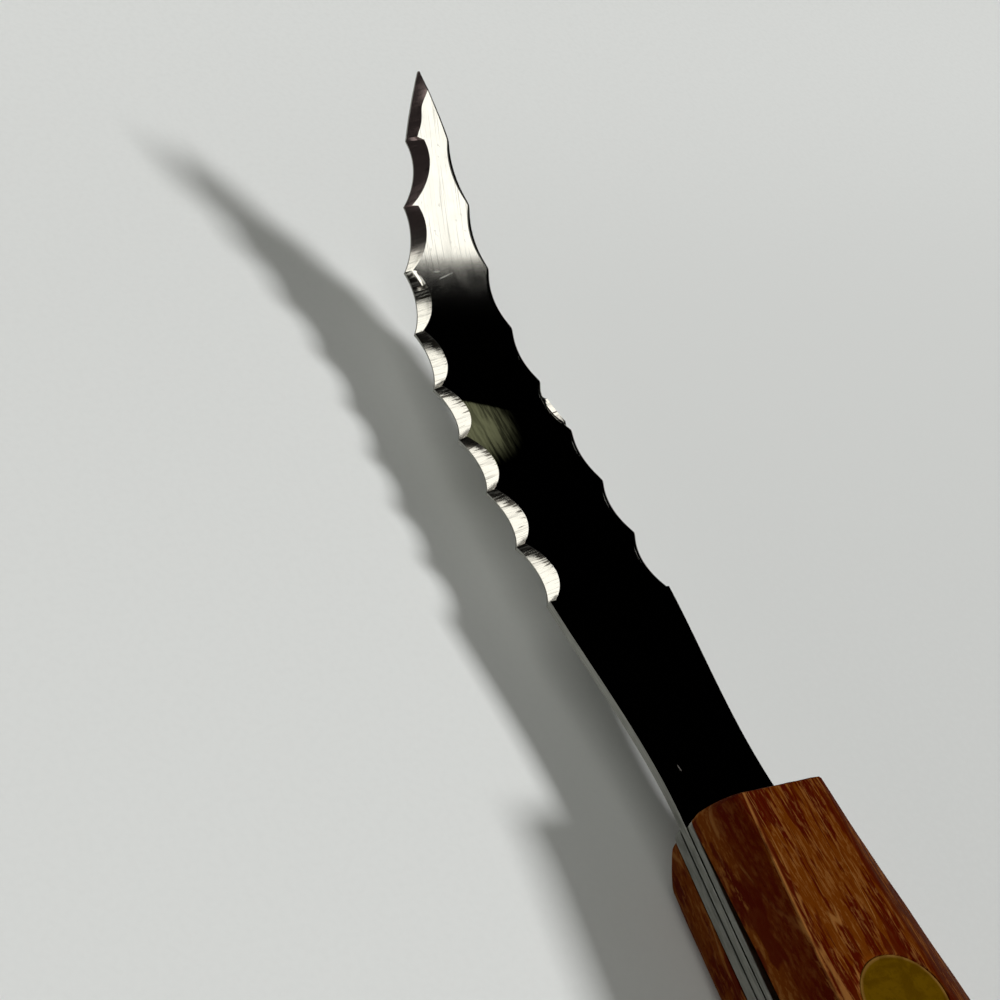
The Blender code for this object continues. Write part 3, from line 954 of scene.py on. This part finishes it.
def end_rounding(x):
    """1 at the handle's end faces, falling to 0 along the rounding."""
    inside = clamped(from_end(x) / knife("handle").end_length)
    return 1.0 - (1.0 - (1.0 - inside) ** END_POWER) ** (1.0 / END_POWER)


def height_share(height):
    """0 at a scale's inner face, 1 at its flat."""
    return (height - SCALE_INNER) / (SCALE_OUTER - SCALE_INNER)


def front_share(x):
    """0 where the worn front of the handle starts, 1 at its end."""
    return max(0.0, (x - FRONT) / FRONT_WORN_LENGTH + 1.0)


def ridge_shift(x):
    """How far the upper flat reaches left of its even outline: drawn in at the ends, out at mid length."""
    along = (from_end(x) - RIDGE_START) / RIDGE_SPAN
    if along > 0.8:
        along -= (min(along, 1.2) - 0.8) ** 2 / 0.8
    return knife("handle").flat_shift * (1.5 * min(1.0, along) - 0.5)


def inner_face(x, side):
    """Height of a scale's inner face. The upper one is pressed down at its ends and bows up between them."""
    if side < 0:
        return SCALE_INNER
    bowed = clamped((from_end(x) - PRESSED_LENGTH) / CLOSED_LENGTH) ** BOW_POWER
    return SCALE_INNER - knife("handle").closing * (1.0 - bowed)


def scale_side(wide, flat, inner, top, drop, power, lift):
    """One side of a scale as (across, height): inner face, wall, rounded edge up to the flat."""
    side = [(wide * 0.6, inner), (wide - EDGE_BREAK - lift, inner)]
    side += [(wide, z) for z in steps_between(inner + EDGE_BREAK + lift, top - drop, 5)]
    for angle in steps_between(0.0, math.pi / 2, 14)[1:]:
        across = max(0.0, math.cos(angle)) ** (2 / power)
        up = math.sin(angle) ** (2 / power)
        side.append((flat + (wide - flat) * across, top - drop + drop * up))
    return side


def scale_ring(x, side):
    """Points round a scale. The upper one is planed steeply on its left, has a crisp ridge and has lifted."""
    sizes = knife("handle")
    rounding = end_rounding(x)
    inner = inner_face(x, side)
    top = SCALE_OUTER - sizes.end_drop * rounding
    drop = sizes.edge_drop + (sizes.end_edge_drop - sizes.edge_drop) * rounding
    wide = handle_half_width(x) - sizes.end_inset * rounding
    flat = wide - sizes.edge_end_width - sizes.edge_swell * sine_swell(x)
    shift = sizes.flat_shift * eased(from_end(x) / FLAT_RUN_IN) if side > 0 else 0.0
    corner = RIGHT_CORNER * rounding
    right = scale_side(wide - corner, flat - shift - corner, inner, top, drop, EDGE_POWER, 0.0)
    left = scale_side(wide, flat, inner, top, drop, EDGE_POWER, 0.0)
    if side > 0:
        lift = sizes.lift * eased(from_end(x) / LIFT_RUN_IN)
        rounder = 1.0 - eased(from_end(x) / ROUND_FRONT)
        power = RIDGE_POWER + (FRONT_POWER - RIDGE_POWER) * rounder
        fall = (top - inner) * (PLANED_SHARE - FRONT_PLANED_LESS * rounder)
        left = scale_side(wide, flat + ridge_shift(x), inner, top, fall, power, lift)
    ridge = left[-1][0]
    crease = -right[-1][0]
    across = [ridge - near for near in RIDGE_ROWS]
    across += steps_between(ridge - ROW_MARGIN, crease + ROW_MARGIN, 7) + [crease + CREASE_ROW]
    outline = [(0.0, inner)] + left
    outline += [(y, top) for y in across]
    outline += [(-y, z) for y, z in reversed(right)]
    return [(x, y, MID_HEIGHT + side * z) for y, z in outline]


def wear_back(shape, stand_out):
    """Sets the worn front of a scale or tang back, further on the left."""
    sizes = knife("handle")
    for vertex in shape.verts:
        share = front_share(vertex.co.x)
        vertex.co.x -= share * share * (sizes.setback - stand_out + FRONT_SKEW * vertex.co.y)


def handle_stations():
    """Places along the handle: close together over the rounded ends, even between them."""
    reach = knife("handle").end_length
    angles = steps_between(0.0, math.pi / 2, 9)
    rounded = [reach * (1.0 - math.cos(angle)) for angle in angles]
    middle = steps_between(REAR + reach, FRONT - reach, 120)
    return [REAR + distance for distance in rounded] + middle[1:-1] + [FRONT - d for d in reversed(rounded)]


def wear_down(shape, side):
    """Hand-worn unevenness, and painted light and shade on the surface.

    worn is above 0 for painted highlights and a paler foot and below 0 for painted shade and the lower
    scale's darkening, dull is 1 on the right edge, where painted shade and a painted grazing reflection lie.
    """
    sizes = knife("handle")
    worn = shape.verts.layers.float.new("worn")
    dull = shape.verts.layers.float.new("dull")
    shape.normal_update()
    for vertex in shape.verts:
        x, y, z = vertex.co
        height = abs(z - MID_HEIGHT)
        flat = handle_half_width(x) - sizes.edge_end_width - sizes.edge_swell * sine_swell(x)
        if side > 0:
            ridge = flat + ridge_shift(x)
            crease = flat - sizes.flat_shift * eased(from_end(x) / FLAT_RUN_IN)
            # Painted shade: a dark line along the crease between the flat and the right edge.
            crease_shade = bell(y + crease + CREASE_OFFSET, CREASE_SHADE_WIDTH)
            vertex[worn] = upper_wear(x, y, height, ridge) - crease_shade
            # dull marks the right rounded edge, which carries painted shade and a painted grazing reflection.
            vertex[dull] = eased((-y - crease + CREASE_OFFSET) / RIGHT_SHADE_FADE)
        if SCALE_INNER + UNWORN_FOOT < height < SCALE_OUTER - UNWORN_FLAT:
            bumpy = noise.noise(Vector((x * WEAR_ALONG, y * WEAR_ACROSS, z * WEAR_ACROSS)))
            vertex.co -= vertex.normal * sizes.wear * max(0.0, WEAR_LEVEL + bumpy)
        if side < 0:
            share = front_share(x)
            depth = max(0.0, height_share(height))
            vertex.co.y *= 1.0 - LOWER_DRAFT * min(1.0, 1.6 * depth) * (0.8 + 0.3 * share)
            vertex.co.x -= FRONT_UNDERCUT * share**3 * depth**UNDERCUT_POWER
            # The lower scale is made a little dark all over.
            vertex[worn] = LOWER_DARKENING
    wear_back(shape, 0.0)


def upper_wear(x, y, height, ridge):
    """Painted highlight along the ridge, paler foot, painted shade over the planed left side heaviest on its
    upper half, painted highlight line round the end.
    """
    # Painted highlights along the ridge and round the end.
    crest = bell(y - ridge, CREST_WIDTH) if height > SCALE_OUTER - CREST_HEIGHT else 0.0
    end = END_LINE_STRENGTH * bell(from_end(x) - END_LINE, END_LINE_WIDTH)
    if y < ridge + RIDGE_SIDE:
        return max(crest, end)
    up = height_share(height)
    foot = FOOT_STRENGTH * eased(1.0 - up / FOOT_HEIGHT) * eased(from_end(x) / FOOT_RUN_IN)
    # Painted shade over the planed left side, heaviest on its upper half.
    darkening = (SIDE_SHADE_LEAST + SIDE_SHADE_GROWTH * eased((up - FOOT_HEIGHT) / 0.5)) * (1.0 - crest)
    return max(crest, end, foot) - darkening


def drill_rivet_holes(scale, side):
    """Counterbores for the rivet heads and holes for their tubes, cut through the finished scale."""
    sizes = knife("rivet")
    head = sizes.head_radius + sizes.hole_room
    tube = sizes.tube_radius + sizes.hole_room
    floor = HEAD_OUTER - sizes.head_thickness - sizes.hole_room
    reach = 2 * SCALE_OUTER
    profile = [(0.0, side * reach), (head, side * reach), (head, side * floor), (tube, side * floor)]
    profile += [(tube, 0.0), (0.0, 0.0)]
    drills = []
    for place, x in RIVET_PLACES.items():
        drill = add_object(f"{scale.name}_{place}_drill", turned(profile, x, DRILL_TURN), [])
        cut = scale.modifiers.new(f"{place}_rivet_hole", "BOOLEAN")
        cut.operation = "DIFFERENCE"
        cut.solver = "EXACT"
        cut.object = drill
        drills.append(drill)
    cut_scale = scale.evaluated_get(bpy.context.evaluated_depsgraph_get())
    scale.data = bpy.data.meshes.new_from_object(cut_scale)
    scale.modifiers.clear()
    shape = bmesh.new()
    shape.from_mesh(scale.data)
    bmesh.ops.remove_doubles(shape, verts=shape.verts, dist=SLIVER_WIDTH)
    bmesh.ops.dissolve_degenerate(shape, edges=shape.edges, dist=SLIVER_WIDTH)
    shape.to_mesh(scale.data)
    shape.free()
    for drill in drills:
        bpy.data.objects.remove(drill, do_unlink=True)


class KnifeHandleScales(bpy.types.Operator):
    """Wooden scales either side of the tangs, worn along their edges, with painted highlights and shade."""

    bl_idname = "knife.handle_scales"
    bl_label = "Handle scales"

    def execute(self, context):
        for name, side in SIDES:
            rings = [scale_ring(x, side) for x in handle_stations()]
            shape = wrapped_grid(rings)
            wear_down(shape, side)
            scale = add_object(f"{name}_scale", shape, [finish(oiled_wood)])
            drill_rivet_holes(scale, side)
            stand_for(scale, f"{name}_handle_scale")
        return {"FINISHED"}


def head_profile(sizes, side):
    """Axis to underside of a rivet head with a rounded rim; side is 1 above and -1 below."""
    rim = sizes.rim
    profile = [(0.0, HEAD_OUTER), (sizes.head_radius * 0.5, HEAD_OUTER)]
    profile.append((sizes.head_radius - 3 * rim, HEAD_OUTER))
    for angle in steps_between(math.pi / 2, 0.0, 6):
        across = sizes.head_radius - rim + rim * math.cos(angle)
        profile.append((across, HEAD_OUTER - rim + rim * math.sin(angle)))
    profile.append((sizes.head_radius, HEAD_OUTER - sizes.head_thickness))
    return [(radius, side * height) for radius, height in profile]


def mark_rim(piece, x):
    """Keeps how near each point is to the head's rim, where a highlight is painted on the brass."""
    sizes = knife("rivet")
    worn = piece.data.attributes.new("worn", "FLOAT", "POINT")
    for vertex, value in zip(piece.data.vertices, worn.data):
        radius = math.hypot(vertex.co.x - x, vertex.co.y)
        value.value = max(0.0, 1.0 - abs(radius - sizes.head_radius + sizes.rim) / (1.5 * sizes.rim))


class KnifeRivets(bpy.types.Operator):
    """Brass rivets: a headed pin from above, driven into a headed tube from below"""

    bl_idname = "knife.rivets"
    bl_label = "Rivets"

    def execute(self, context):
        sizes = context.scene.knife_rivet
        inner = HEAD_OUTER - sizes.head_thickness
        bore_floor = sizes.socket_floor - inner
        pin_end = FRONT_PIN[0].z - MID_HEIGHT
        mouth = FRONT_TUBE[1].z - MID_HEIGHT
        shank = [(sizes.pin_radius, inner), (sizes.pin_radius, pin_end), (0.0, pin_end)]
        tube = [(sizes.tube_radius, -inner), (sizes.tube_radius, mouth), (sizes.tube_bore, mouth)]
        tube += [(sizes.tube_bore, bore_floor), (0.0, bore_floor)]
        for place, x in RIVET_PLACES.items():
            for half, side, rest in (("pin", 1.0, shank), ("tube", -1.0, tube)):
                shape = turned(head_profile(sizes, side) + rest, x)
                piece = add_object(f"{place}_{half}", shape, [finish(aged_brass)])
                mark_rim(piece, x)
                stand_for(piece, f"{place}_rivet_{half}")
        return {"FINISHED"}


# Where painted shade falls on the floor to the right and rear of the knife and painted light lies beyond it,
# and where that is full.
FLOOR_SHADE_RIGHT = (0.020, -0.030)
FLOOR_SHADE_REAR = (0.180, 0.030)
FLOOR_LIGHT_BEYOND = (0.115, 0.180)
FLOOR_HALF_SIZE = 3.0

LENS = 72.0
SENSOR = 36.0
NEAR_CLIP = 0.005
FAR_CLIP = 20.0
CAMERA_PLACE = Vector((-0.01547105, 0.10573578, 0.12547762))
CAMERA_RIGHT = Vector((-0.40867, -0.83743, 0.36290))
CAMERA_VIEW = Vector((0.54024, -0.54243, -0.64335))
LIT_POINT = Vector((0.090, 0.0, 0.010))

# Each lamp: name, direction from the knife, distance, width, height, watts, colour, only seen mirrored.
LAMPS = (
    ("key", (-0.483, -0.548, 0.683), 4.00, 0.74, 0.74, 140.0, (1.0, 0.99, 0.985), False),
    ("fill", (0.10, 0.40, 0.91), 2.60, 1.90, 1.90, 12.9, (1.0, 1.0, 0.93), False),
    ("tip_panel", (-0.323, -0.532, 0.783), 1.40, 0.62, 0.62, 2.25, (1.0, 0.99, 0.94), True),
    ("far_panel", (0.627, 0.022, 0.779), 1.00, 1.17, 0.33, 1.85, (1.0, 0.99, 0.95), True),
)
# Room: its colour, and the heights between which its walls darken, with their light there.
ROOM_TINT = (1.0, 1.0, 0.96, 1.0)
WALL_HEIGHTS = (0.08, 0.75)
WALL_LIGHT = (0.57, 0.036)
# Dark side of the room: its heading, where it is darkest to, where it has faded out.
DARK_SIDE = (math.radians(-66.0), math.radians(36.0), math.radians(105.0))


def turned_frame(side, back, place):
    """Placement whose X axis runs along side and whose Z axis points back."""
    back = back.normalized()
    up = back.cross(side).normalized()
    return Matrix.Translation(place) @ Matrix((up.cross(back), up, back)).transposed().to_4x4()


def dark_sided_room():
    """Pale walls, dark overhead, and one dark side that the polished blade mirrors."""
    world = bpy.data.worlds.new("studio")
    world.use_nodes = True
    n = Nodes(world.node_tree, "Generated")
    heading, darkest, faded = DARK_SIDE
    level = n.vectors("MULTIPLY", n.place, (1.0, 1.0, 0.0))["Vector"]
    along = n.vectors("NORMALIZE", level)["Vector"]
    facing = n.vectors("DOT_PRODUCT", along, (math.cos(heading), math.sin(heading), 0.0))["Value"]
    walls = n.spread(n.axis("Z"), *WALL_HEIGHTS, *WALL_LIGHT)
    shade = n.spread(facing, math.cos(darkest), math.cos(faded))
    n.fill(n.tree.nodes["Background"], Color=ROOM_TINT, Strength=n.times(walls, shade))
    return world


class KnifeStage(bpy.types.Operator):
    """Pale floor, soft lamps and the camera"""

    bl_idname = "knife.stage"
    bl_label = "Stage"

    def execute(self, context):
        self.lay_floor()
        self.light(context)
        self.place_camera(context)
        return {"FINISHED"}

    def lay_floor(self):
        shape = bmesh.new()
        bmesh.ops.create_grid(shape, x_segments=4, y_segments=4, size=FLOOR_HALF_SIZE)
        floor = add_object("floor", shape, [finish(pale_floor)])

    def light(self, context):
        context.scene.world = dark_sided_room()
        context.scene.view_settings.view_transform = "Standard"
        for name, direction, distance, width, height, watts, tint, mirrored in LAMPS:
            lamp = bpy.data.lights.new(name, "AREA")
            lamp.shape = "RECTANGLE"
            lamp.size = width
            lamp.size_y = height
            lamp.energy = watts
            lamp.color = tint
            holder = bpy.data.objects.new(name, lamp)
            context.scene.collection.objects.link(holder)
            back = Vector(direction).normalized()
            side = (Vector((1.0, 0.0, 0.0)) - back * back.x).normalized()
            holder.matrix_world = turned_frame(side, back, LIT_POINT + back * distance)
            holder.visible_camera = False
            holder.visible_glossy = mirrored
            holder.visible_diffuse = not mirrored

    def place_camera(self, context):
        lens = bpy.data.cameras.new("camera")
        lens.lens = LENS
        lens.sensor_width = SENSOR
        lens.clip_start = NEAR_CLIP
        lens.clip_end = FAR_CLIP
        camera = bpy.data.objects.new("camera", lens)
        context.scene.collection.objects.link(camera)
        camera.matrix_world = turned_frame(CAMERA_RIGHT, -CAMERA_VIEW, CAMERA_PLACE)
        context.scene.camera = camera


class KnifePanel(bpy.types.Panel):
    """Sizes, colours and steps of the knife"""

    bl_idname = "VIEW3D_PT_knife"
    bl_label = "Grapefruit knife"
    bl_space_type = "VIEW_3D"
    bl_region_type = "UI"
    bl_category = "Knife"

    def draw(self, context):
        layout = self.layout
        for step in STEPS:
            layout.operator(step.bl_idname)
        for group in SETTINGS:
            settings = getattr(context.scene, group)
            column = layout.column(align=True)
            column.label(text=settings.bl_rna.description)
            for key in settings.__annotations__:
                column.prop(settings, key)


SETTINGS = {
    "knife_handle": KnifeHandleSizes,
    "knife_blade": KnifeBladeSizes,
    "knife_section": KnifeSectionSizes,
    "knife_rivet": KnifeRivetSizes,
    "knife_colours": KnifeColours,
}
STEPS = (KnifeStage, KnifeBentBlade, KnifeSectionBlades, KnifeHandleScales, KnifeRivets)


def register():
    for kind in (*SETTINGS.values(), *STEPS, KnifePanel):
        bpy.utils.register_class(kind)
    for name, kind in SETTINGS.items():
        setattr(bpy.types.Scene, name, PointerProperty(type=kind))


def unregister():
    for name in SETTINGS:
        delattr(bpy.types.Scene, name)
    for kind in (KnifePanel, *reversed(STEPS), *SETTINGS.values()):
        bpy.utils.unregister_class(kind)


def main():
    register()
    bpy.ops.knife.stage()
    bpy.ops.knife.bent_blade()
    bpy.ops.knife.section_blades()
    bpy.ops.knife.handle_scales()
    bpy.ops.knife.rivets()


if __name__ == "__main__":
    main()
